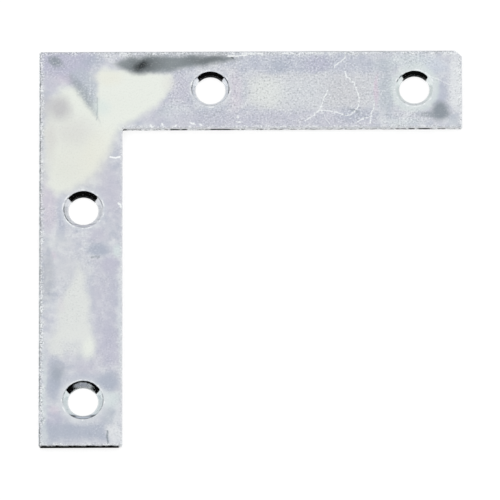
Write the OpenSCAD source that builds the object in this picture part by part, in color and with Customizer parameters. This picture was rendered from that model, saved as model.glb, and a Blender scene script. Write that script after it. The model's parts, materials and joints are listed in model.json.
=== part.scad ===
// Flat corner brace: one L-shaped plate, blanked from sheet steel and zinc plated, with two
// countersunk screw holes in each arm.
// Millimetres, +Z up. The back face lies on z = 0 and the countersinks open upwards. The origin
// is where the two hole lines cross: one arm runs along +X and the other along -Y.

/* [Plate] */
// Outer length of each arm, from the corner to its free end
arm_length = 76; // [60:1:100]
// Width of each arm
arm_width = 15; // [13:0.5:18]
// Thickness of the sheet
thickness = 1.2; // [1:0.1:2]
// Radius of the outer corners, seen from above
corner_r = 0.4; // [0.3:0.1:1]
// Radius of the inner corner, seen from above
inner_r = 0.3; // [0.2:0.1:1]
// Leg of the corner that is cut off at the end of the X arm
corner_cut = 1.2; // [0.8:0.1:2]

/* [Screw holes] */
// Diameter of the straight wall of each hole
hole_d = 5.3; // [4:0.1:6]
// Height of the straight wall that is left under each countersink
hole_land = 0.35; // [0.2:0.05:0.6]
// Full angle of each countersink
sink_angle = 90; // [80:1:110]
// Crossing of the hole lines to the nearer hole of the X arm
x_near_hole = 22.8; // [18:0.1:30]
// Crossing of the hole lines to the nearer hole of the Y arm
y_near_hole = 23.2; // [18:0.1:30]
// Free end of the X arm to its farther hole
x_end_hole = 8.6; // [7:0.1:12]
// Free end of the Y arm to its farther hole
y_end_hole = 8.8; // [7:0.1:12]
// How far the X arm's hole line lies inside the middle of the arm
x_line_shift = -0.2; // [-0.5:0.05:0.5]
// How far the Y arm's hole line lies inside the middle of the arm
y_line_shift = 0.45; // [-0.5:0.05:0.5]

/* [Blanked edge] */
// Radius that the press rolled over along the upper edge
edge_roll = 0.15; // [0.05:0.05:0.3]
// Height of the smooth sheared band below the rolled edge
shear_band = 0.35; // [0.2:0.05:0.5]
// Inward slope of the broken band between the sheared one and the back face
break_slope = 4; // [2:1:8]

/* [Hidden] */
$fn = 96;
over = 3; // how far a cutter reaches past what it cuts
spare = 0.5; // the sheet around the outline that the edge is cut from

// The four outer sides and the two inner ones, measured from the crossing of the hole lines.
left_x = -(arm_width / 2 + y_line_shift);
top_y = arm_width / 2 + x_line_shift;
right_x = left_x + arm_length;
bottom_y = top_y - arm_length;
inner_x = left_x + arm_width;
inner_y = top_y - arm_width;

// The outline's corners and their radii, anticlockwise. The inner corner has its radius below zero,
// and a plain corner has none.
outline = [
    [left_x, bottom_y, corner_r],
    [inner_x, bottom_y, corner_r],
    [inner_x, inner_y, -inner_r],
    [right_x, inner_y, corner_r],
    [right_x, top_y - corner_cut, 0],
    [right_x - corner_cut, top_y, 0],
    [left_x, top_y, corner_r],
];

// The centres of the X arm's holes, then of the Y arm's.
holes = [
    [x_near_hole, 0],
    [right_x - x_end_hole, 0],
    [0, -y_near_hole],
    [0, bottom_y + y_end_hole],
];

// Direction from one corner to another, in degrees.
function heading(from, to) = atan2(to[1] - from[1], to[0] - from[0]);

// What the edge loses beyond the outline, which is x = 0, with the plate at +X: the rolled
// shoulder at the top, the sheared band, then the broken band that leans in to the back face.
module edge_section() {
    roll_z = thickness - edge_roll;
    break_z = roll_z - shear_band;
    break_in = break_z * tan(break_slope);
    difference() {
        polygon([
            [-over, -over],
            [break_in, -over],
            [break_in, 0],
            [0, break_z],
            [0, roll_z],
            [edge_roll, roll_z],
            [edge_roll, thickness + over],
            [-over, thickness + over],
        ]);
        translate([edge_roll, roll_z]) circle(edge_roll);
    }
}

// The cutter along one straight side. It runs past the outer corners, and stops where the inner
// corner's arc begins.
module side_cutter(from, to) {
    start = from[2] < 0 ? -from[2] : -over;
    end = to[2] < 0 ? -to[2] : -over;
    translate([from[0], from[1], 0]) rotate([0, 0, heading(from, to)])
        translate([start, 0, 0]) rotate([90, 0, 90])
            linear_extrude(norm([to[0] - from[0], to[1] - from[1]]) - start - end) edge_section();
}

// The cutter round an outer corner, a quarter turn about a centre in the plate.
module outer_arc_cutter(radius) {
    translate([-radius, radius, 0]) rotate([0, 0, -90])
        rotate_extrude(angle = 90) translate([radius, 0]) mirror([1, 0]) edge_section();
}

// The cutter round the inner corner, a full turn about a centre outside the plate. The square keeps
// the section on one side of its axis.
module inner_arc_cutter(radius) {
    translate([-radius, -radius, 0]) rotate_extrude() intersection() {
        translate([radius, 0]) edge_section();
        translate([0, -2 * over]) square([radius + over, thickness + 4 * over]);
    }
}

// Everything that the press cuts away round the plate.
module blanking_cutter() {
    count = len(outline);
    for (i = [0 : count - 1]) {
        before = outline[(i + count - 1) % count];
        corner = outline[i];
        side_cutter(before, corner);
        translate([corner[0], corner[1], 0]) rotate([0, 0, heading(before, corner)]) {
            if (corner[2] > 0) outer_arc_cutter(corner[2]);
            if (corner[2] < 0) inner_arc_cutter(-corner[2]);
        }
    }
}

// The sheet for one arm, with some to spare on every side.
module arm_sheet(size_x, size_y, low_y) {
    translate([left_x - spare, low_y - spare, 0])
        cube([size_x + 2 * spare, size_y + 2 * spare, thickness]);
}

// One punched hole with its countersink, as a turned cutter.
module screw_hole() {
    hole_r = hole_d / 2;
    mouth_r = hole_r + (thickness + over - hole_land) * tan(sink_angle / 2);
    rotate_extrude() polygon([
        [0, -over],
        [hole_r, -over],
        [hole_r, hole_land],
        [mouth_r, thickness + over],
        [0, thickness + over],
    ]);
}

module corner_plate() {
    color([0.79, 0.80, 0.84]) difference() {
        union() {
            arm_sheet(arm_length, arm_width, inner_y);
            arm_sheet(arm_width, arm_length, bottom_y);
        }
        blanking_cutter();
        for (hole = holes) translate([hole[0], hole[1], 0]) screw_hole();
    }
}

corner_plate();
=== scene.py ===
import json
import math
import bmesh
import bpy
from mathutils import Matrix, Vector, noise


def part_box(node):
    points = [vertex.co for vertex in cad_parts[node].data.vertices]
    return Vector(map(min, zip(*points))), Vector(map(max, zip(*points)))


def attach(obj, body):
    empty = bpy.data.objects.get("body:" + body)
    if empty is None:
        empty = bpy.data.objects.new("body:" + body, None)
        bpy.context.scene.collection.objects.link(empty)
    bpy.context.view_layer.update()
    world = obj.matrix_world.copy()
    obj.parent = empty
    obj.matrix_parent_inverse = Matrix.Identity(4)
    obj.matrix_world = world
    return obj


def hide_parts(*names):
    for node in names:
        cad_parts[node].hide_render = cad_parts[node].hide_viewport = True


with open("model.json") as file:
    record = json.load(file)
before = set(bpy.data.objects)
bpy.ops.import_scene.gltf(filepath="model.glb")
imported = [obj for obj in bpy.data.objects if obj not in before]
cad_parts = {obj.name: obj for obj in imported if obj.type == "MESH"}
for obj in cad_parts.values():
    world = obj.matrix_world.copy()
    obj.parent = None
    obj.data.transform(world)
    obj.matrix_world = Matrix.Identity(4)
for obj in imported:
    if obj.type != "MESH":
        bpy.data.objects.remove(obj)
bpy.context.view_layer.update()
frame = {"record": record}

mm = 0.001  # the plate is drawn in millimetres and brought to metres when it is finished
print("stage 1: frame loaded")

# Camera, at the photograph's angle

camera = {
    "azimuth": 1.03,  # degrees, from looking along +Y
    "elevation": 68.36,
    "roll": -1.18,
    "distance": 3733.8,  # mm to the point it looks at
    "lookAt": (29.87, -30.73, 0),
    "lens": 1500,
}


def placeCamera(spec):
    turn = math.radians(spec["azimuth"])
    rise = math.radians(spec["elevation"])
    back = Vector((math.sin(turn) * math.cos(rise), -math.cos(turn) * math.cos(rise), math.sin(rise)))
    lensData = bpy.data.cameras.new("productCamera")
    lensData.lens = spec["lens"]
    lensData.clip_start = 0.1
    lensData.clip_end = 20
    body = bpy.data.objects.new("productCamera", lensData)
    facing = back.to_track_quat("Z", "Y").to_matrix().to_4x4()
    roll = Matrix.Rotation(math.radians(spec["roll"]), 4, "Z")
    aim = Vector(spec["lookAt"]) + back * spec["distance"]
    body.matrix_world = Matrix.Translation(aim * mm) @ facing @ roll
    bpy.context.scene.collection.objects.link(body)
    bpy.context.scene.camera = body


placeCamera(camera)
bpy.context.scene.view_settings.view_transform = "Standard"

# The plate's mesh

boxLow, boxHigh = (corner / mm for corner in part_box("corner_plate"))

plate = {
    "left": boxLow.x,
    "right": boxHigh.x,
    "bottom": boxLow.y,
    "top": boxHigh.y,
    "thickness": boxHigh.z,
    "armWidth": 15.0,
    "cornerRadius": 0.4,
    "innerRadius": 0.3,
    "cornerCut": 1.2,
    "edgeRoll": 0.15,
    "shearBand": 0.35,
    "breakSlope": 4.0,  # degrees
    "arcSteps": 6,
    "rollSteps": 4,
    "breakSteps": 3,
    "crease": math.radians(35),  # sharper edges than this are shaded sharp
    "cell": 0.25,  # spacing of the points along the edge
    "margin": 0.004,  # keeps the edge inside the plate's box
    "wander": 0.02,  # how far the edge strays from its line
    "wanderNoise": 1.3,  # per mm
    "ragged": 0.12,  # how far the cut at the Y arm's end strays
    "raggedNoise": (2.1, 0.2, 0.2),
}

bores = [mount for mount in frame["record"]["mounts"] if mount["kind"] == "bore"]

sink = {
    "centres": [Vector(bore["pos_m"]) / mm for bore in bores],
    "holeRadius": bores[0]["dims"]["r_mm"],
    "depths": [0.73, 0.73, 0.87, 0.99],  # the countersinks went in unevenly
    "angle": 90.0,  # degrees, the full cone
    "flare": 96.0,  # degrees, the cone near its mouth
    "flareFrom": 0.75,  # share of the wall's height where it starts
    "lip": 0.04,  # rounding at the mouth
    "lipShape": [(1, 0), (0.45, 0.12), (-0.1, 0.42), (-0.7, 0.8), (-1.3, 1.2)],  # out and down, in lips
    "burr": 0.04,  # chamfer under the land
    "steps": 112,
    "zone": 4.5,  # walls nearer than this to a hole's axis are its own
    "wander": 0.025,  # how far the mouth strays from a circle
    "wanderNoise": 1.7,  # per mm
    "wanderDepth": 0.6,
}


def cornerPoints(p):
    innerX = p["left"] + p["armWidth"]
    innerY = p["top"] - p["armWidth"]
    return [
        (p["left"], p["bottom"], p["cornerRadius"], p["arcSteps"]),
        (innerX, p["bottom"], p["cornerRadius"], p["arcSteps"]),
        (innerX, innerY, p["innerRadius"], p["arcSteps"]),
        (p["right"], innerY, p["cornerRadius"], p["arcSteps"]),
        (p["right"], p["top"], p["cornerCut"], 1),
        (p["left"], p["top"], p["cornerRadius"], p["arcSteps"]),
    ]


def drawOutline(bm, p, height):
    # One flat face with its corners rounded and its sides divided
    corners = cornerPoints(p)
    verts = [bm.verts.new((x, y, height)) for x, y, radius, steps in corners]
    bm.faces.new(verts)
    for vert, (x, y, radius, steps) in zip(verts, corners):
        bmesh.ops.bevel(
            bm, geom=[vert], offset=radius, offset_type="OFFSET", segments=steps,
            profile=0.5, affect="VERTICES", clamp_overlap=False, material=-1,
        )
    for side in list(bm.edges):
        cuts = int(side.calc_length() / p["cell"])
        if cuts > 1:
            bmesh.ops.subdivide_edges(bm, edges=[side], cuts=cuts - 1)
    bm.faces.ensure_lookup_table()
    return bm.faces[0]


def stepFace(bm, face, inward, forward):
    # One ring of the edge: the face shrinks and moves along its normal
    bm.normal_update()
    bmesh.ops.inset_region(
        bm, faces=[face], thickness=inward, depth=forward, use_boundary=True, use_even_offset=True,
    )


def buildEdge(bm, p):
    rollZ = p["thickness"] - p["edgeRoll"]
    breakZ = rollZ - p["shearBand"]
    breakIn = breakZ * math.tan(math.radians(p["breakSlope"]))
    under = drawOutline(bm, p, breakZ)
    made = bmesh.ops.extrude_face_region(bm, geom=[under])["geom"]
    raised = [g for g in made if isinstance(g, bmesh.types.BMVert)]
    bmesh.ops.translate(bm, verts=raised, vec=(0, 0, p["shearBand"]))
    over = next(g for g in made if isinstance(g, bmesh.types.BMFace))
    bmesh.ops.recalc_face_normals(bm, faces=bm.faces)
    for i in range(p["rollSteps"]):
        a, b = (k * math.pi / 2 / p["rollSteps"] for k in (i, i + 1))
        inward, forward = math.cos(a) - math.cos(b), math.sin(b) - math.sin(a)
        stepFace(bm, over, p["edgeRoll"] * inward, p["edgeRoll"] * forward)
    for i in range(p["breakSteps"]):
        stepFace(bm, under, breakIn / p["breakSteps"], breakZ / p["breakSteps"])
    bmesh.ops.delete(bm, geom=[over, under], context="FACES_ONLY")


def roughenEdge(bm, p):
    # Side faces and holes wander a little, and the upper part of the Y arm's end is ragged
    bm.normal_update()
    for vert in bm.verts:
        side = Vector((vert.normal.x, vert.normal.y, 0))
        if side.length < 0.2:
            continue
        stray = p["wander"] * noise.noise(vert.co * p["wanderNoise"])
        vert.co -= side.normalized() * (abs(stray) + p["margin"])
        if vert.co.y < p["bottom"] + 0.3 and vert.co.z > 0.6 * p["thickness"]:
            darkDashes = noise.noise(vert.co * Vector(p["raggedNoise"])) + 0.1
            vert.co.y += p["ragged"] * max(0.0, darkDashes)


def wallRadius(s, depth, share):
    # Radius at a share of the wall's height: a straight cone that flares near its mouth
    straight, flared = (math.tan(math.radians(s[key] / 2)) for key in ("angle", "flare"))
    below, past = min(share, s["flareFrom"]), max(share - s["flareFrom"], 0)
    return s["holeRadius"] + depth * (below * straight + past * flared)


def spinSink(bm, p, s, centre, depth):
    land = p["thickness"] - depth
    mouth = wallRadius(s, depth, 1)
    profile = [(mouth + out * s["lip"], p["thickness"] - down * s["lip"]) for out, down in s["lipShape"]]
    rings = (0.87, s["flareFrom"], 0.62)
    profile += [(wallRadius(s, depth, share), land + depth * share) for share in rings]
    profile += [
        (s["holeRadius"] + 0.1, land + 0.1),
        (s["holeRadius"] + 0.01, land + 0.01),
        (s["holeRadius"], land - 0.02),
        (s["holeRadius"], s["burr"]),
        (s["holeRadius"] + s["burr"], 0),
    ]
    verts = [bm.verts.new((centre.x + r, centre.y, z)) for r, z in profile]
    edges = [bm.edges.new(pair) for pair in zip(verts, verts[1:])]
    bmesh.ops.spin(
        bm, geom=verts + edges, cent=(centre.x, centre.y, 0), axis=(0, 0, 1),
        angle=2 * math.pi, steps=s["steps"], use_merge=True,
    )


def fillFace(bm, height, up):
    rim = [e for e in bm.edges if e.is_boundary and all(abs(v.co.z - height) < 1e-4 for v in e.verts)]
    bmesh.ops.triangle_fill(bm, edges=rim, use_beauty=False, normal=(0, 0, up))


def roughenSinks(bm, p, s):
    # The mouths of the countersinks aren't perfectly round
    for vert in bm.verts:
        for centre in s["centres"]:
            arm = Vector((vert.co.x - centre.x, vert.co.y - centre.y, 0))
            onWall = s["holeRadius"] + 0.1 < arm.length < s["zone"]
            if onWall and vert.co.z > p["thickness"] - s["wanderDepth"]:
                vert.co += arm.normalized() * s["wander"] * noise.noise(vert.co * s["wanderNoise"])


def partOf(face, p, s):
    # 0 upper face, 1 sheared edge, 2 countersink and hole, 3 back face
    middle = face.calc_center_median()
    if face.normal.z > 0.999 and middle.z > p["thickness"] - 0.01:
        return 0
    if face.normal.z < -0.999:
        return 3
    inHole = any((middle.xy - centre.xy).length < s["zone"] for centre in s["centres"])
    return 2 if inHole else 1


def buildPlate(p, s, finishes):
    bm = bmesh.new()
    buildEdge(bm, p)
    for centre, depth in zip(s["centres"], s["depths"]):
        spinSink(bm, p, s, centre, depth)
    fillFace(bm, p["thickness"], 1)
    fillFace(bm, 0, -1)
    bmesh.ops.recalc_face_normals(bm, faces=bm.faces)
    roughenEdge(bm, p)
    roughenSinks(bm, p, s)
    bm.normal_update()
    for face in bm.faces:
        face.material_index = partOf(face, p, s)
        face.smooth = face.material_index in (1, 2)
    for edge in bm.edges:
        edge.smooth = edge.calc_face_angle(0) < p["crease"]
    openEdges = sum(not e.is_manifold for e in bm.edges)
    print("stage 3: plate has", len(bm.faces), "faces and", openEdges, "open edges")
    bmesh.ops.scale(bm, vec=(mm, mm, mm), verts=bm.verts)
    mesh = bpy.data.meshes.new("cornerPlate")
    bm.to_mesh(mesh)
    bm.free()
    for finish in finishes:
        mesh.materials.append(finish)
    piece = bpy.data.objects.new("cornerPlate", mesh)
    bpy.context.scene.collection.objects.link(piece)
    return piece


# Shader helpers


def newMaterial(name):
    material = bpy.data.materials.new(name)
    material.use_nodes = True
    material.node_tree.nodes.clear()
    return material, material.node_tree


def put(tree, kind, inputs=(), **settings):
    node = tree.nodes.new("ShaderNode" + kind)
    for name, value in settings.items():
        setattr(node, name, value)
    for name, value in dict(inputs).items():
        if isinstance(value, bpy.types.NodeSocket):
            tree.links.new(value, node.inputs[name])
        else:
            node.inputs[name].default_value = value
    return node


def calc(tree, operation, a, b=0.0, third=0.0):
    return put(tree, "Math", {0: a, 1: b, 2: third}, operation=operation).outputs[0]


def fade(tree, value, start, end, low=0.0, high=1.0):
    inputs = {"Value": value, "From Min": start, "From Max": end, "To Min": low, "To Max": high}
    return put(tree, "MapRange", inputs, interpolation_type="SMOOTHSTEP").outputs[0]


def grain(tree, place, scale, detail=2.0, roughness=0.5, stretch=(1, 1, 1), seat=0.0):
    # Noise from 0 to 1; scale is per mm, and seat picks another part of the noise
    mapping = {"Vector": place, "Location": (seat, seat, seat), "Scale": stretch}
    moved = put(tree, "Mapping", mapping).outputs[0]
    inputs = {"Vector": moved, "Scale": scale, "Detail": detail, "Roughness": roughness}
    return put(tree, "TexNoise", inputs).outputs[0]


def blend(tree, share, a, b):
    return put(tree, "Mix", {0: share, 6: a, 7: b}, data_type="RGBA").outputs[2]


def tint(red, green, blue):
    # A colour as it should look on the screen, from 0 to 255
    return tuple(((c / 255 + 0.055) / 1.055) ** 2.4 for c in (red, green, blue)) + (1.0,)


def plateSpace(tree, flat=False):
    # Object coordinates in millimetres. Flat ones have their height set to 1.
    raw = put(tree, "TexCoord").outputs["Object"]
    scale, shift = ((1000, 1000, 0), (0, 0, 1)) if flat else ((1000, 1000, 1000), (0, 0, 0))
    return put(tree, "VectorMath", {0: raw, 1: scale, 2: shift}, operation="MULTIPLY_ADD").outputs[0]


def warped(tree, place, scale, reach):
    # Moves the place about, so that shapes drawn on it get uneven borders
    shifts = []
    for seat in (0.0, 43.0):
        share = grain(tree, place, scale, 3.0, 0.6, seat=seat)
        shifts.append(calc(tree, "MULTIPLY_ADD", share, 2 * reach, third=-reach))
    shift = put(tree, "CombineXYZ", {"X": shifts[0], "Y": shifts[1]}).outputs[0]
    return put(tree, "VectorMath", {0: place, 1: shift}, operation="ADD").outputs[0]


def spot(tree, flat, x, y, halfLength, halfWidth, turn, soft, strength):
    # As strong as given inside an ellipse, fading to 0 over its border
    if turn:
        cosine, sine = math.cos(math.radians(turn)), math.sin(math.radians(turn))
        along = Vector((cosine, sine, -x * cosine - y * sine)) / halfLength
        across = Vector((-sine, cosine, x * sine - y * cosine)) / halfWidth
        shares = []
        for axis in (along, across):
            dot = put(tree, "VectorMath", {0: flat, 1: axis}, operation="DOT_PRODUCT")
            shares.append(dot.outputs["Value"])
        local = put(tree, "CombineXYZ", {"X": shares[0], "Y": shares[1]}).outputs[0]
    else:
        shrink = {0: flat, 1: (1 / halfLength, 1 / halfWidth, 1), 2: (-x / halfLength, -y / halfWidth, -1)}
        local = put(tree, "VectorMath", shrink, operation="MULTIPLY_ADD").outputs[0]
    reach = put(tree, "VectorMath", {0: local}, operation="LENGTH").outputs["Value"]
    return fade(tree, reach, 1 + soft, 1 - soft, 0, strength)


def sideGaps(tree, place, p):
    # Distance from each side of the plate in millimetres. The inner two rise fast past their corner.
    parts = put(tree, "SeparateXYZ", {0: place})
    x, y = parts.outputs[0], parts.outputs[1]
    innerX, innerY = p["left"] + p["armWidth"], p["top"] - p["armWidth"]
    fromSide = calc(tree, "SUBTRACT", innerX, x)
    fromEnd = calc(tree, "SUBTRACT", y, innerY)
    steep = 4.0
    return {
        "left": calc(tree, "SUBTRACT", x, p["left"]),
        "top": calc(tree, "SUBTRACT", p["top"], y),
        "right": calc(tree, "SUBTRACT", p["right"], x),
        "bottom": calc(tree, "SUBTRACT", y, p["bottom"]),
        "innerSide": calc(tree, "MAXIMUM", fromSide, calc(tree, "MULTIPLY", fromEnd, steep)),
        "innerEnd": calc(tree, "MAXIMUM", fromEnd, calc(tree, "MULTIPLY", fromSide, steep)),
    }


def patch(tree, flat, corners, soft, strength):
    # As strong as given inside a convex outline drawn anticlockwise, fading to 0 over its border
    inside = 1000.0
    for (ax, ay), (bx, by) in zip(corners, corners[1:] + corners[:1]):
        across = Vector((ay - by, bx - ax)).normalized()
        side = {0: flat, 1: (across.x, across.y, -across.x * ax - across.y * ay)}
        depth = put(tree, "VectorMath", side, operation="DOT_PRODUCT").outputs["Value"]
        inside = calc(tree, "MINIMUM", depth, inside)
    return fade(tree, inside, -soft, soft, 0, strength)


def fromAxis(tree, flat, centre):
    # Distance from an upright axis
    inputs = {0: flat, 1: (centre.x, centre.y, 1)}
    return put(tree, "VectorMath", inputs, operation="DISTANCE").outputs["Value"]


def holeDistance(tree, flat, s):
    # Distance from the axis of the nearest hole
    nearest = 1000.0
    for centre in s["centres"]:
        nearest = calc(tree, "MINIMUM", fromAxis(tree, flat, centre), nearest)
    return nearest


def mouthGap(tree, flat, s):
    # Distance from the mouth of the nearest countersink, below zero inside it
    nearest = 1000.0
    for centre, depth in zip(s["centres"], s["depths"]):
        gap = calc(tree, "SUBTRACT", fromAxis(tree, flat, centre), wallRadius(s, depth, 1))
        nearest = calc(tree, "MINIMUM", gap, nearest)
    return nearest


def upperRim(tree, flat, s, low, high):
    # 1 at the +Y side of each hole, fading in from the low to the high distance from its middle
    y = put(tree, "SeparateXYZ", {0: flat}).outputs[1]
    share = 0.0
    for centre in s["centres"]:
        rise = fade(tree, y, centre.y + low, centre.y + high)
        near = calc(tree, "LESS_THAN", fromAxis(tree, flat, centre), s["zone"])
        share = calc(tree, "MAXIMUM", calc(tree, "MULTIPLY", rise, near), share)
    return share


def lineDistance(tree, flat, points):
    # Distance from a line through the points
    nearest = 1000.0
    for (ax, ay), (bx, by) in zip(points, points[1:]):
        run = Vector((bx - ax, by - ay, 0))
        start = put(tree, "VectorMath", {0: flat, 1: (ax, ay, 1)}, operation="SUBTRACT").outputs[0]
        onward = {0: start, 1: run / run.length_squared}
        along = put(tree, "VectorMath", onward, operation="DOT_PRODUCT").outputs["Value"]
        along = put(tree, "Clamp", {0: along}).outputs[0]
        foot = put(tree, "VectorMath", {0: tuple(run), "Scale": along}, operation="SCALE").outputs[0]
        gap = put(tree, "VectorMath", {0: start, 1: foot}, operation="DISTANCE").outputs["Value"]
        nearest = calc(tree, "MINIMUM", gap, nearest)
    return nearest


# The zinc plating of the upper face

zinc = {
    "base": (206, 208, 216),
    "grey": (212, 214, 218),
    "deep": (178, 185, 199),
    "blue": (188, 193, 207),
    "violet": (199, 198, 211),
    "indigo": (187, 187, 206),
    "pink": (214, 205, 217),
    "pale": (217, 222, 226),
    "teal": (216, 225, 226),
    "cream": (234, 238, 231),
    "straw": (226, 227, 218),
    "sand": (218, 218, 214),
    "lemon": (233, 233, 221),
    "mint": (223, 233, 229),
    "blush": (228, 228, 223),
    "haze": (226, 229, 226),
    "frost": (230, 233, 235),
    "sky": (206, 213, 224),
    "warm": (194, 193, 196),
    "steel": (186, 195, 203),
    "slate": (146, 154, 162),
    # smear and soot also serve as painted shade on the rolled shoulder and on the countersinks' lower
    # walls
    "smearAndShade": (132, 140, 143),
    "sootAndShade": (36, 41, 43),
    "white": (247, 250, 251),
}

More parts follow.
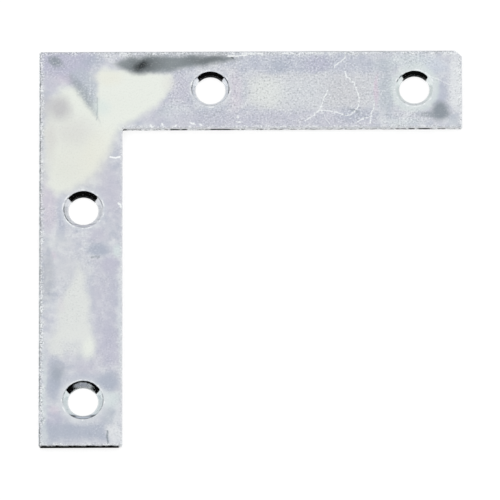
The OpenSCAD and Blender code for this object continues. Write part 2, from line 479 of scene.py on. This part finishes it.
stains = {
    # Round stains: place, half length, half width, turn, softness, strength, shade
    "under": [
        (13.5, -4.5, 3.0, 2.5, 30, 0.6, 0.5, "violet"),
        (17.3, -0.4, 2.2, 3.1, 0, 0.6, 0.7, "violet"),
        (16.6, -4.6, 2.0, 1.8, 0, 0.6, 0.6, "pale"),
        (22.4, -5.5, 3.8, 1.8, 0, 0.6, 0.55, "deep"),
        (27.2, -0.6, 1.2, 3.5, 0, 0.6, 0.5, "pink"),
        (2.5, -28.4, 1.6, 1.4, 0, 0.6, 0.7, "violet"),
        (4.8, -19.6, 1.9, 5.0, 10, 0.6, 0.7, "violet"),
        (-6.3, -22.4, 1.3, 5.0, 0, 0.6, 0.5, "pink"),
        (-4.0, -24.3, 0.8, 3.9, 0, 0.6, 0.7, "blue"),
        (-2.4, -34.9, 3.4, 3.2, 0, 0.6, 0.7, "grey"),
        (-4.4, -29.5, 2.6, 1.7, 0, 0.6, 0.3, "haze"),
        (-5.4, -32.0, 0.5, 0.8, 0, 0.6, 0.5, "pink"),
        (2.8, -31.1, 2.0, 1.2, 0, 0.5, 0.9, "deep"),
        (4.8, -34.0, 1.3, 1.7, 0, 0.5, 0.7, "indigo"),
        (5.4, -38.4, 0.9, 3.6, 0, 0.5, 0.7, "blue"),
        (6.1, -31.1, 0.8, 1.1, 0, 0.5, 0.9, "teal"),
        (-6.6, -36.3, 1.3, 4.6, 0, 0.6, 0.3, "slate"),
        (-4.9, -56.2, 1.3, 3.4, 0, 0.6, 0.95, "deep"),
        (-5.3, -63.7, 1.4, 1.7, 0, 0.6, 0.5, "indigo"),
        (4.8, -59.9, 1.9, 1.7, 0, 0.5, 0.9, "teal"),
        (4.9, -62.9, 1.5, 1.5, 0, 0.6, 0.6, "steel"),
        (62.8, 4.4, 2.6, 1.6, -15, 0.6, 0.8, "sky"),
        (64.0, -0.9, 1.6, 2.6, 0, 0.6, 0.8, "blue"),
        (67.0, 1.2, 1.2, 5.0, 0, 0.6, 0.8, "frost"),
        (57.4, -6.5, 3.8, 0.8, 0, 0.6, 0.4, "teal"),
        (66.4, -6.2, 1.1, 1.2, 0, 0.6, 0.5, "steel"),
    ],
    # Larger stains: convex outline drawn anticlockwise, softness, strength, shade
    "patches": [
        ([(29.4, -3.0), (31.3, -4.3), (44.3, -4.2), (52.2, -3.5), (52.7, 0.8), (51.9, 2.9), (31.4, 3.2),
          (29.2, 2.4)], 1.0, 0.7, "grey"),
        ([(28.0, 3.5), (31.0, 3.2), (51.9, 3.1), (52.6, 4.0), (52.0, 6.2), (30.0, 6.3), (27.8, 5.6)],
         0.8, 0.6, "blue"),
        ([(15.9, -7.9), (52.2, -7.9), (52.2, -4.4), (15.9, -4.5)], 1.0, 0.5, "violet"),
        ([(-8.6, 4.2), (-6.8, 3.1), (-2.1, 0.9), (-0.3, 0.6), (0.8, 2.2), (1.5, 4.9), (2.2, 8.0),
          (-8.6, 8.0)], 0.9, 0.85, "indigo"),
        ([(1.8, -53.0), (6.2, -53.4), (6.0, -33.0), (1.6, -32.9)], 0.8, 0.5, "violet"),
        ([(-6.6, -67.4), (4.4, -67.4), (3.9, -64.2), (-6.6, -64.4)], 0.8, 0.85, "deep"),
        ([(-0.8, -34.5), (-4.7, -42.0), (-4.9, -48.5), (1.4, -48.5), (1.1, -40.7), (0.3, -37.0)],
         1.0, 0.9, "haze"),
        ([(-5.6, -46.5), (-6.4, -48.9), (-6.0, -50.7), (-4.1, -51.7), (1.6, -51.8), (2.1, -49.4),
          (1.4, -46.0)], 1.0, 0.6, "haze"),
        ([(-6.7, -4.4), (-6.7, -11.7), (-6.1, -18.6), (-4.9, -20.1), (-2.0, -19.4), (1.9, -15.9),
          (4.1, -12.0), (6.7, -7.6), (-1.4, 0.6), (-4.2, -0.1)], 1.2, 1.0, "cream"),
        ([(2.7, 3.2), (2.4, -0.5), (2.6, -5.6), (3.7, -7.5), (5.8, -7.7), (9.4, -6.0), (13.4, -3.2),
          (15.5, 0.2), (15.7, 2.7), (3.7, 3.9)], 1.0, 1.0, "cream"),
        ([(-3.2, 2.4), (-1.0, -0.5), (1.2, -3.3), (2.3, -5.0), (2.6, -3.4), (2.4, 1.0), (1.5, 3.3),
          (-0.6, 4.2)], 0.7, 0.6, "steel"),
        ([(-3.1, 2.3), (-1.4, -0.3), (0.6, -2.9), (2.3, -5.0), (1.5, -1.9), (-0.4, 1.2), (-2.1, 2.8)],
         0.8, 0.62, "slate"),
        ([(5.7, 4.9), (7.3, 3.7), (10.2, 3.0), (15.0, 3.3), (26.0, 5.1), (27.6, 5.8), (24.9, 6.3),
          (11.9, 6.6), (7.3, 6.1)], 0.8, 0.92, "smearAndShade"),
    ],
    # Round stains on top of the larger ones, written as the first ones
    "over": [
        (33.0, -0.7, 3.3, 2.8, 0, 0.5, 0.5, "cream"),
        (38.9, -0.7, 4.0, 2.7, 0, 0.7, 0.35, "pale"),
        (47.0, -0.9, 3.4, 2.9, 0, 0.6, 0.25, "warm"),
        (42.0, 4.7, 2.3, 1.4, 0, 0.5, 0.6, "indigo"),
        (35.5, 4.4, 1.8, 1.2, 0, 0.6, 0.6, "deep"),
        (52.8, -0.4, 0.45, 2.7, 0, 0.5, 1.0, "pink"),
        (54.5, -0.6, 1.2, 3.9, 0, 0.6, 0.7, "steel"),
        (48.8, -5.2, 3.2, 1.2, 0, 0.6, 0.6, "deep"),
        (48.8, -4.4, 0.9, 0.3, -15, 0.7, 0.8, "slate"),
        (54.0, 4.6, 2.2, 1.3, 0, 0.6, 0.6, "steel"),
        (58.5, 5.3, 3.6, 1.2, 0, 0.6, 0.5, "teal"),
        (59.5, -0.1, 4.5, 4.6, 0, 0.14, 0.6, "mint"),
        (0.0, -59.9, 4.7, 4.7, 0, 0.16, 0.35, "frost"),
        (64.1, -4.5, 1.5, 1.8, 0, 0.5, 1.0, "slate"),
        (61.9, -5.2, 1.5, 0.5, 0, 0.7, 0.7, "slate"),
        (-5.9, 1.8, 1.4, 1.9, 0, 0.6, 0.7, "violet"),
        (-3.5, 1.8, 1.3, 1.0, 0, 0.7, 0.4, "pink"),
        (-5.1, 5.3, 1.3, 0.9, -35, 0.7, 0.9, "slate"),
        (-2.0, -14.5, 4.6, 4.8, -20, 0.8, 0.6, "straw"),
        (-1.9, -8.2, 3.6, 2.6, 0, 0.8, 0.7, "sand"),
        (-5.9, -9.8, 0.9, 3.4, 0, 0.8, 0.8, "sand"),
        (2.3, -12.2, 2.2, 4.3, -25, 0.7, 0.5, "lemon"),
        (4.6, 2.2, 2.2, 1.3, 0, 0.7, 0.6, "lemon"),
        (3.5, -3.5, 1.4, 1.4, 0, 0.7, 0.7, "mint"),
        (-4.4, -3.7, 2.0, 2.1, 15, 0.7, 0.85, "warm"),
        (-6.8, -3.8, 0.9, 2.4, 0, 0.7, 0.35, "warm"),
        (15.2, 1.1, 1.1, 1.4, 0, 0.7, 0.5, "blush"),
        (1.3, 5.6, 1.7, 1.2, 0, 0.7, 0.7, "deep"),
        (14.4, -4.4, 1.6, 0.8, 35, 0.6, 0.4, "steel"),
        (4.7, -49.5, 1.4, 4.4, 0, 0.6, 0.45, "indigo"),
        (0.5, -54.0, 2.2, 1.5, 0, 0.6, 0.6, "violet"),
        (-4.6, -54.6, 1.2, 1.6, 0, 0.7, 0.35, "slate"),
        (0.0, -55.9, 2.9, 1.1, 0, 0.6, 0.6, "blue"),
        (4.3, -56.5, 1.9, 1.6, 0, 0.6, 0.95, "deep"),
        (-5.2, -61.8, 0.7, 0.8, 0, 0.6, 0.5, "pink"),
        (5.6, -66.4, 1.3, 1.7, 0, 0.5, 0.7, "frost"),
        (6.2, -63.5, 0.6, 2.0, 0, 0.6, 0.5, "frost"),
        (-6.9, -59.9, 0.5, 8.7, 0, 0.6, 0.5, "teal"),
        (6.6, -46.0, 0.3, 12.0, 0, 0.6, 0.5, "pale"),
        (-5.0, -49.5, 1.3, 1.6, 0, 0.6, 0.6, "haze"),
        (1.1, -49.9, 1.2, 1.9, 0, 0.6, 0.9, "cream"),
        (-2.2, -51.4, 1.2, 0.9, 0, 0.7, 0.3, "violet"),
        (-3.8, -41.6, 0.7, 1.4, 0, 0.7, 0.25, "pink"),
        (10.8, 4.6, 2.6, 1.3, 8, 0.9, 0.45, "sootAndShade"),
        (10.4, 4.7, 1.2, 0.7, 22, 0.9, 0.9, "sootAndShade"),
        (22.2, 5.6, 3.4, 0.8, 6, 0.7, 0.3, "sootAndShade"),
        (12.0, -7.0, 0.35, 0.18, -60, 0.5, 0.9, "white"),
        (14.3, -6.7, 0.35, 0.18, -60, 0.5, 0.8, "white"),
        (16.5, -7.1, 0.35, 0.18, 50, 0.5, 0.8, "white"),
        (19.6, -6.8, 0.5, 0.2, -30, 0.5, 0.9, "white"),
        (21.1, -6.9, 0.4, 0.2, -20, 0.5, 0.9, "white"),
        (27.8, -5.5, 0.35, 0.25, 50, 0.5, 0.8, "white"),
        (27.9, -6.6, 0.4, 0.2, 0, 0.5, 0.8, "white"),
        (26.5, 6.0, 0.4, 0.2, -30, 0.6, 0.8, "sootAndShade"),
    ],
    # Lines: points, half width, strength, shade
    "lines": [
        ([(2.4, -1.7), (2.5, -4.4), (2.3, -6.0)], 0.12, 0.35, "slate"),
        ([(1.5, -32.5), (2.8, -32.4)], 0.2, 0.6, "slate"),
        ([(4.4, -65.9), (4.3, -67.0), (4.5, -68.2)], 0.16, 0.9, "slate"),
        ([(47.2, 7.0), (47.0, 5.8), (46.2, 5.2), (45.3, 4.5), (45.1, 4.0)], 0.11, 0.8, "white"),
        ([(47.0, 3.3), (47.2, 2.3), (48.5, 1.2), (49.2, -0.7), (49.5, -1.9), (49.4, -3.5), (48.7, -4.5),
          (47.9, -5.1), (47.2, -5.3)], 0.11, 0.8, "white"),
        ([(43.9, -0.4), (43.2, -1.9), (42.5, -4.0), (41.5, -5.1), (39.8, -6.3)], 0.11, 0.8, "white"),
        ([(42.4, -4.3), (44.2, -4.3), (45.9, -4.8), (47.2, -5.3)], 0.11, 0.8, "white"),
        ([(52.2, -3.1), (52.1, -3.9), (51.7, -4.8), (51.5, -6.8)], 0.11, 0.8, "white"),
        ([(51.4, -5.5), (50.0, -6.0), (48.9, -6.8)], 0.11, 0.8, "white"),
        ([(42.7, -4.4), (43.7, -6.0), (44.3, -7.2)], 0.08, 0.5, "white"),
        ([(62.1, 2.3), (64.1, 1.5), (66.4, 0.3)], 0.1, 0.6, "white"),
        ([(26.0, 6.3), (28.5, 6.4), (30.3, 6.7), (32.2, 6.9)], 0.14, 0.9, "white"),
        ([(35.3, 6.6), (36.4, 6.8), (38.2, 6.7)], 0.11, 0.8, "white"),
        ([(39.3, 6.9), (43.2, 6.9)], 0.11, 0.8, "white"),
        ([(4.8, -13.2), (5.7, -13.3), (6.5, -13.1)], 0.16, 1.0, "white"),
        ([(6.3, -22.1), (7.1, -23.2)], 0.16, 1.0, "white"),
    ],
    # Where the crystals are coarse: place, half length, half width, turn, softness, strength
    "coarse": [
        (34.0, 0.0, 24.0, 9.0, 0, 0.3, 0.85),
        (59.0, 5.4, 5.0, 1.8, 0, 0.5, 0.9),
        (-5.5, 5.0, 4.5, 3.5, 0, 0.6, 0.6),
        (48.8, -5.2, 4.6, 3.0, 0, 0.6, 1.0),
        (22.6, -5.6, 4.0, 2.2, 0, 0.6, 0.75),
        (57.6, -5.9, 5.0, 1.8, 0, 0.6, 1.0),
        (13.0, 6.4, 14.0, 1.2, 0, 0.6, 1.0),
        (38.0, 6.4, 16.0, 1.2, 0, 0.6, 1.0),
        (66.6, 0.5, 1.6, 6.0, 0, 0.6, 0.7),
        (0.8, -1.5, 2.4, 2.6, 0, 0.6, 0.9),
    ],
    # Wear and painted shade along each side: reach in mm, share rubbed white, share dark, share of painted
    # dark reflection on the shoulder, reach of that painted shade
    "wearAndShade": {
        "left": (1.7, 1.0, 0.8, 0.9, 0.26),
        "top": (1.5, 1.0, 0.7, 0.75, 0.22),
        "right": (1.3, 1.0, 0.5, 0.5, 0.15),
        "bottom": (1.0, 1.0, 0.4, 0.0, 0.0),
        "innerSide": (0.8, 0.7, 0.3, 0.2, 0.15),
        "innerEnd": (1.1, 0.9, 0.5, 0.5, 0.2),
    },
}


def shadeOf(name):
    return tint(*zinc[name])


def stain(tree, colour, share, strength, shade):
    return blend(tree, calc(tree, "MULTIPLY", share, strength), colour, shadeOf(shade))


def paintSpots(tree, colour, flat, spots):
    for *shape, shade in spots:
        colour = blend(tree, spot(tree, flat, *shape), colour, shadeOf(shade))
    return colour


def paintStains(tree, colour, loose, fine, marks):
    # Returns the stained colour, and where the plating is smooth and creamy
    creamy = 0.0
    broken = fade(tree, grain(tree, fine, 2.4, 2.0, 0.6, seat=71.0), 0.36, 0.46, 0.4, 1.0)
    colour = paintSpots(tree, colour, loose, marks["under"])
    for corners, soft, strength, shade in marks["patches"]:
        share = patch(tree, loose, corners, soft, strength)
        if shade in ("cream", "smearAndShade"):
            creamy = calc(tree, "MAXIMUM", calc(tree, "MULTIPLY", share, 0.8), creamy)
        if shade == "slate":
            share = calc(tree, "MULTIPLY", share, broken)
        colour = blend(tree, share, colour, shadeOf(shade))
    colour = paintSpots(tree, colour, loose, marks["over"])
    for points, halfWidth, strength, shade in marks["lines"]:
        away = lineDistance(tree, fine, points)
        share = fade(tree, away, 1.5 * halfWidth, 0.5 * halfWidth, 0, strength)
        colour = stain(tree, colour, share, broken, shade)
    return colour, creamy


def paintWearAndShade(tree, colour, place, p, wearAndShade):
    # Hammered band along each side, with painted dark reflections in spots on the rolled shoulder
    gaps = sideGaps(tree, place, p)
    uneven = grain(tree, place, 0.4, 2.0, 0.5, seat=17.0)
    zone = fade(tree, uneven, 0.36, 0.52, 0.35, 1.0)
    speck = grain(tree, place, 3.6, 2.0, 0.8, seat=3.0)
    bright = fade(tree, speck, 0.53, 0.6)
    dark = fade(tree, speck, 0.46, 0.38)
    shadeSpecks = grain(tree, place, 3.0, 3.0, 0.8, seat=13.0)
    shadeSpecks = calc(tree, "MULTIPLY", fade(tree, shadeSpecks, 0.42, 0.52, 0.25, 1.0), zone)
    for side, (reach, rubbed, dented, shoulderShade, shoulderShadeReach) in wearAndShade.items():
        lost = calc(tree, "MULTIPLY", uneven, reach)
        band = fade(tree, calc(tree, "ADD", gaps[side], lost), 1.25 * reach, 0.6 * reach)
        colour = stain(tree, colour, band, 0.2, "haze")
        colour = stain(tree, colour, calc(tree, "MULTIPLY", band, bright), rubbed, "white")
        colour = stain(tree, colour, calc(tree, "MULTIPLY", band, dark), dented, "smearAndShade")
        if shoulderShade:
            close = fade(tree, gaps[side], shoulderShadeReach + 0.08, shoulderShadeReach - 0.08)
            colour = stain(tree, colour, calc(tree, "MULTIPLY", close, shadeSpecks), shoulderShade, "sootAndShade")
    return colour


def platedFace(name, p, s, marks, stained):
    material, tree = newMaterial(name)
    place = plateSpace(tree, flat=True)
    loose = warped(tree, warped(tree, place, 0.35, 0.8), 1.6, 0.16)
    fine = warped(tree, place, 1.6, 0.25)
    clouds = grain(tree, loose, 0.09, 3.0, 0.55)
    colour = blend(tree, fade(tree, clouds, 0.45, 0.7, 0, 0.5), shadeOf("base"), shadeOf("blue"))
    drift = grain(tree, loose, 0.16, 2.0, 0.5, seat=31.0)
    colour = blend(tree, fade(tree, drift, 0.5, 0.75, 0, 0.5), colour, shadeOf("pale"))
    creamy = fade(tree, drift, 0.68, 0.8)
    mottle = grain(tree, loose, 0.7, 2.0, 0.5, seat=83.0)
    colour = stain(tree, colour, fade(tree, mottle, 0.5, 0.66), 0.45, "frost")
    colour = stain(tree, colour, fade(tree, mottle, 0.5, 0.34), 0.45, "deep")
    if stained:
        colour, creamy = paintStains(tree, colour, loose, fine, marks)
    # Crystalline grain, coarse in places and almost absent where the plating is creamy
    lively = fade(tree, grain(tree, place, 0.25, 2.0, 0.5, seat=57.0), 0.4, 0.65, 0.12, 0.4)
    if stained:
        for shape in marks["coarse"]:
            lively = calc(tree, "MAXIMUM", spot(tree, loose, *shape), lively)
    lively = calc(tree, "MAXIMUM", calc(tree, "SUBTRACT", lively, creamy), 0.14)
    swirl = grain(tree, warped(tree, place, 1.8, 0.15), 3.0, 2.5, 0.6)
    glint = calc(tree, "MULTIPLY", fade(tree, swirl, 0.52, 0.68), lively)
    colour = stain(tree, colour, glint, 0.65, "white")
    pit = calc(tree, "MULTIPLY", fade(tree, swirl, 0.48, 0.32), lively)
    colour = stain(tree, colour, pit, 0.55, "smearAndShade")
    colour = paintWearAndShade(tree, colour, place, p, marks["wearAndShade"])
    # Faint pale ring round each countersink, and its rim white in places, partly rubbed and partly painted
    # highlight
    gap = mouthGap(tree, place, s)
    colour = stain(tree, colour, fade(tree, gap, 1.0, 0.2), 0.35, "pale")
    rimWearAndHighlight = fade(tree, grain(tree, place, 0.9, 3.0, 0.7, seat=23.0), 0.48, 0.6, 0.05, 0.75)
    colour = stain(tree, colour, calc(tree, "MULTIPLY", fade(tree, gap, 0.4, 0.2), rimWearAndHighlight), 1.0, "white")
    bump = put(tree, "Bump", {"Height": swirl, "Strength": 0.12, "Distance": 0.00005}).outputs[0]
    rough = fade(tree, drift, 0.3, 0.8, 0.36, 0.48)
    inputs = {"Base Color": colour, "Metallic": 0.85, "Roughness": rough, "Normal": bump}
    shader = put(tree, "BsdfPrincipled", inputs)
    put(tree, "OutputMaterial", {"Surface": shader.outputs[0]})
    return material


# The sheared sides: bright where the punch slid, with a dark broken line below, black at the Y arm's cut
# end

shear = {
    "bright": (240, 242, 244),
    "dull": (214, 217, 222),
    "broken": (250, 251, 252),
    "darkDashes": (30, 33, 35),
    "cut": (8, 8, 8),
    # Where the dark line under the X arm's inner side runs unbroken: x, half length
    "unbrokenDashes": [(7.3, 0.5), (16.4, 0.8), (18.1, 0.5), (24.6, 1.8), (58.9, 0.5), (61.2, 1.0)],
}


def shearedEdge(name, p, s):
    # Its bands go by height, in millimetres above the back face
    material, tree = newMaterial(name)
    place = plateSpace(tree)
    parts = put(tree, "SeparateXYZ", {0: place})
    x, y, height = parts.outputs
    right, innerY = p["left"] + p["armWidth"], p["top"] - p["armWidth"]
    streaks = grain(tree, place, 1.8, 3.0, 0.7, stretch=(1, 1, 0.15))
    colour = blend(tree, fade(tree, streaks, 0.3, 0.7), tint(*s["dull"]), tint(*s["bright"]))
    colour = blend(tree, fade(tree, height, 0.68, 0.56), colour, tint(*s["broken"]))
    wobble = calc(tree, "MULTIPLY", grain(tree, place, 1.4, 3.0, 0.7, seat=9.0), 0.24)
    level = calc(tree, "ADD", height, wobble)
    line = calc(tree, "MULTIPLY", fade(tree, level, 1.16, 1.08), fade(tree, level, 0.4, 0.48))
    breaks = fade(tree, grain(tree, place, 1.5, 3.0, 0.8, seat=5.0), 0.46, 0.56, 0.15, 0.85)
    flat = plateSpace(tree, flat=True)
    for middle, half in s["unbrokenDashes"]:
        away = fromAxis(tree, flat, Vector((middle, innerY)))
        breaks = calc(tree, "MAXIMUM", breaks, fade(tree, away, half + 0.3, half - 0.2))
    darkDashes = calc(tree, "MULTIPLY", line, breaks)
    colour = blend(tree, darkDashes, colour, tint(*s["darkDashes"]))
    # Painted dark reflections in spots on the left side's rolled top
    shadeSpecks = fade(tree, grain(tree, place, 1.6, 3.0, 0.8, seat=13.0), 0.44, 0.58, 0, 0.6)
    leftSide = fade(tree, x, p["left"] + 0.4, p["left"] + 0.2)
    leftTop = calc(tree, "MULTIPLY", fade(tree, height, 0.9, 1.05), leftSide)
    paintedShoulderShade = calc(tree, "MULTIPLY", leftTop, shadeSpecks)
    colour = blend(tree, paintedShoulderShade, colour, shadeOf("smearAndShade"))
    # The cut end is ragged at its top, and stops short of the arm's two corners
    ragged = calc(tree, "MULTIPLY", grain(tree, place, 1.3, 3.0, 0.7, seat=19.0), 0.5)
    atEnd = fade(tree, y, p["bottom"] + 0.45, p["bottom"] + 0.3)
    cut = calc(tree, "MULTIPLY", atEnd, fade(tree, calc(tree, "ADD", height, ragged), 1.42, 1.32))
    cut = calc(tree, "MULTIPLY", cut, fade(tree, x, p["left"] + 0.15, p["left"] + 0.4))
    cut = calc(tree, "MULTIPLY", cut, fade(tree, x, right - 0.4, right - 0.8))
    colour = blend(tree, cut, colour, tint(*s["cut"]))
    rough = calc(tree, "MULTIPLY_ADD", darkDashes, 0.3, third=0.3)
    metal = calc(tree, "SUBTRACT", 1.0, cut)
    inputs = {"Base Color": colour, "Metallic": metal, "Roughness": rough}
    inputs["Specular IOR Level"] = calc(tree, "MULTIPLY", metal, 0.5)
    shader = put(tree, "BsdfPrincipled", inputs)
    put(tree, "OutputMaterial", {"Surface": shader.outputs[0]})
    return material


# The turned walls of the countersinks, and the punched land under them

turned = {
    "wall": (232, 235, 239),
    "wallShade": (212, 217, 225),
    "bright": (252, 253, 253),  # next to the hole, a painted highlight
    # The land's colours are painted light: shade under the upper holes, a paler reflection below the y
    # that follows
    "land": (30, 33, 35),
    "paleLandReflection": (196, 200, 201),
    "paleReflectionBelow": -45.0,  # y under which a land's painted reflection is pale
    # painted dark reflection along the mouth
    "paintedRimReflection": (70, 76, 84),
    # Marks on the walls; those about 2.8 to 3.6 mm below a hole's middle are painted shade on the lower
    # walls: hole, place from its middle, half length, half width, softness, strength, shade
    "marks": [
        (0, 0.0, -3.1, 2.6, 0.6, 0.5, 0.6, "grey"),
        (1, 0.0, 0.0, 3.6, 3.6, 0.1, 0.6, "mint"),
        (1, 0.0, -3.0, 3.0, 0.9, 0.5, 0.6, "grey"),
        (2, 0.0, 0.0, 3.6, 3.6, 0.1, 0.6, "grey"),
        (2, 0.0, -3.1, 2.6, 0.6, 0.5, 0.6, "violet"),
        (3, 0.0, 0.0, 3.8, 3.8, 0.1, 0.7, "teal"),
        (3, 0.0, -3.1, 2.5, 0.7, 0.5, 0.8, "deep"),
        (2, 0.1, -2.78, 2.0, 0.14, 0.5, 0.7, "smearAndShade"),
        (3, 0.0, -2.84, 2.2, 0.2, 0.5, 0.6, "smearAndShade"),
        (2, -0.2, -3.45, 2.2, 0.14, 0.5, 0.7, "slate"),
        (3, 0.0, -3.6, 2.2, 0.14, 0.5, 0.7, "slate"),
        (3, -1.75, -3.0, 0.5, 0.2, 0.5, 0.9, "sootAndShade"),
        (3, 1.75, -3.0, 0.5, 0.2, 0.5, 0.7, "sootAndShade"),
    ],
    # Where the painted dark reflection at the mouth shows: hole, place from its middle, half sizes,
    # softness, strength
    "paintedRimReflections": [
        (0, -3.1, 1.4, 1.2, 2.2, 0.4, 0.9),
        (0, 3.1, 0.9, 1.2, 2.6, 0.4, 0.9),
        (1, -2.9, 2.0, 1.0, 0.9, 0.4, 0.8),
        (2, -3.0, -0.4, 1.5, 3.2, 0.3, 0.9),
        (2, 3.2, 1.6, 0.9, 1.4, 0.4, 0.5),
        (3, -3.3, 1.0, 0.9, 1.6, 0.4, 0.6),
        (3, 3.4, -0.2, 0.8, 2.4, 0.4, 0.5),
        (3, 0.0, -3.0, 3.0, 1.0, 0.4, 0.6),
    ],
    "dullPatch": (3, -0.15, 2.95, 1.4, 0.5, 0.5, 0.75, "blue"),  # as the marks, and less shiny
}


def wallMark(tree, flat, s, hole, x, y, halfLength, halfWidth, soft, strength):
    middle = s["centres"][hole]
    return spot(tree, flat, middle.x + x, middle.y + y, halfLength, halfWidth, 0, soft, strength)


def turnedSink(name, s, t):
    material, tree = newMaterial(name)
    place = plateSpace(tree)
    flat = plateSpace(tree, flat=True)
    flow = grain(tree, place, 1.5, 3.0, 0.6)
    colour = blend(tree, fade(tree, flow, 0.35, 0.65), tint(*t["wall"]), tint(*t["wallShade"]))
    # Wall tints, with painted shade on the lower walls
    for *shape, shade in t["marks"]:
        colour = blend(tree, wallMark(tree, flat, s, *shape), colour, shadeOf(shade))
    *shape, shade = t["dullPatch"]
    dull = calc(tree, "MULTIPLY", wallMark(tree, flat, s, *shape), fade(tree, flow, 0.35, 0.55, 0.5, 1.0))
    colour = blend(tree, dull, colour, shadeOf(shade))
    specks = fade(tree, grain(tree, place, 2.6, 3.0, 0.8, seat=61.0), 0.46, 0.36, 0, 0.4)
    lower = calc(tree, "SUBTRACT", 1.0, upperRim(tree, flat, s, -2.0, 0.5))
    colour = stain(tree, colour, calc(tree, "MULTIPLY", specks, lower), 1.0, "smearAndShade")
    # Painted highlight on the hole's edge at its sides, and painted shade on the land under the +Y side
    away = holeDistance(tree, flat, s)
    y = put(tree, "SeparateXYZ", {0: place}).outputs[1]
    upper = upperRim(tree, flat, s, 1.5, 1.9)
    edge = fade(tree, away, s["holeRadius"] + 0.35, s["holeRadius"] + 0.05)
    colour = blend(tree, calc(tree, "MULTIPLY", edge, 0.6), colour, tint(*t["bright"]))
    deep = calc(tree, "LESS_THAN", y, t["paleReflectionBelow"])
    landShadeColour = blend(tree, deep, tint(*t["land"]), tint(*t["paleLandReflection"]))
    land = fade(tree, away, s["holeRadius"] + 0.16, s["holeRadius"] + 0.09)
    land = calc(tree, "MULTIPLY", land, upper)
    colour = blend(tree, land, colour, landShadeColour)
    # Painted dark reflection, broken, at the mouth
    ring = fade(tree, mouthGap(tree, flat, s), -0.18, -0.12)
    broken = fade(tree, grain(tree, place, 1.1, 3.0, 0.8, seat=41.0), 0.38, 0.52, 0.2, 1.0)
    shown = 0.0
    for shape in t["paintedRimReflections"]:
        shown = calc(tree, "MAXIMUM", wallMark(tree, flat, s, *shape), shown)
    ring = calc(tree, "MULTIPLY", calc(tree, "MULTIPLY", ring, broken), shown)
    colour = blend(tree, ring, colour, tint(*t["paintedRimReflection"]))
    ripple = grain(tree, place, 5.0, 2.0, 0.6, stretch=(1, 1, 4))
    bump = put(tree, "Bump", {"Height": ripple, "Strength": 0.1, "Distance": 0.00002}).outputs[0]
    matt = calc(tree, "SUBTRACT", 1.0, upperRim(tree, flat, s, -0.2, 1.0))
    matt = calc(tree, "MAXIMUM", calc(tree, "MAXIMUM", land, dull), matt)
    rough = calc(tree, "MULTIPLY_ADD", matt, 0.4, third=0.07)
    inputs = {"Base Color": colour, "Metallic": 1.0, "Roughness": rough, "Normal": bump}
    shader = put(tree, "BsdfPrincipled", inputs)
    put(tree, "OutputMaterial", {"Surface": shader.outputs[0]})
    return material


finishes = [
    platedFace("cloudyZinc", plate, sink, stains, True),
    shearedEdge("shearedEdge", plate, shear),
    turnedSink("turnedSink", sink, turned),
    platedFace("backZinc", plate, sink, stains, False),
]
print("stage 2: finishes made")

piece = buildPlate(plate, sink, finishes)
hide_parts("corner_plate")
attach(piece, "root")

# Floor, light and the dark card that the countersinks reflect

stage = {
    "floorSize": 4.0,  # metres
    "floorDrop": 0.00002,  # metres below the plate
    "floorColour": (0.35, 0.35, 0.35, 1),
    "floorLift": 0.72,  # what camera and mirror rays see on top of the lit colour
    "sky": 1.0,
    "card": {"y": -118.6, "x": 22.5, "halfWidth": 257.5, "low": 25.0, "high": 105.0},
}


def makeFloor(spec):
    bm = bmesh.new()
    bmesh.ops.create_grid(bm, x_segments=1, y_segments=1, size=spec["floorSize"] / 2)
    bmesh.ops.translate(bm, verts=bm.verts, vec=(0, 0, -spec["floorDrop"]))
    mesh = bpy.data.meshes.new("floor")
    bm.to_mesh(mesh)
    bm.free()
    material, tree = newMaterial("paleFloor")
    ray = put(tree, "LightPath")
    seen = calc(tree, "MAXIMUM", ray.outputs["Is Camera Ray"], ray.outputs["Is Glossy Ray"])
    seen = calc(tree, "MAXIMUM", seen, ray.outputs["Is Transmission Ray"])
    lit = put(tree, "BsdfDiffuse", {"Color": spec["floorColour"]})
    strength = calc(tree, "MULTIPLY", seen, spec["floorLift"])
    glow = put(tree, "Emission", {"Color": (1, 1, 1, 1), "Strength": strength})
    both = put(tree, "AddShader", {0: lit.outputs[0], 1: glow.outputs[0]})
    put(tree, "OutputMaterial", {"Surface": both.outputs[0]})
    mesh.materials.append(material)
    floor = bpy.data.objects.new("floor", mesh)
    bpy.context.scene.collection.objects.link(floor)


def makeCard(spec):
    bm = bmesh.new()
    bmesh.ops.create_grid(bm, x_segments=1, y_segments=1, size=1)
    half = (spec["high"] - spec["low"]) / 2
    bmesh.ops.scale(bm, vec=(spec["halfWidth"], half, 1), verts=bm.verts)
    upright = Matrix.Rotation(math.pi / 2, 3, "X")
    bmesh.ops.rotate(bm, cent=(0, 0, 0), matrix=upright, verts=bm.verts)
    bmesh.ops.translate(bm, vec=(spec["x"], spec["y"], spec["low"] + half), verts=bm.verts)
    bmesh.ops.scale(bm, vec=(mm, mm, mm), verts=bm.verts)
    mesh = bpy.data.meshes.new("darkCard")
    bm.to_mesh(mesh)
    bm.free()
    material, tree = newMaterial("blackCard")
    shader = put(tree, "BsdfDiffuse", {"Color": (0.005, 0.005, 0.005, 1)})
    put(tree, "OutputMaterial", {"Surface": shader.outputs[0]})
    mesh.materials.append(material)
    card = bpy.data.objects.new("darkCard", mesh)
    bpy.context.scene.collection.objects.link(card)
    card.visible_camera = False
    card.visible_diffuse = False
    card.visible_shadow = False


def makeSky(spec):
    world = bpy.data.worlds.new("softSky")
    bpy.context.scene.world = world
    world.use_nodes = True
    world.node_tree.nodes.clear()
    light = put(world.node_tree, "Background", {"Color": (1, 1, 1, 1), "Strength": spec["sky"]})
    put(world.node_tree, "OutputWorld", {"Surface": light.outputs[0]})


makeFloor(stage)
makeCard(stage["card"])
makeSky(stage)
print("stage 4: floor and light set")
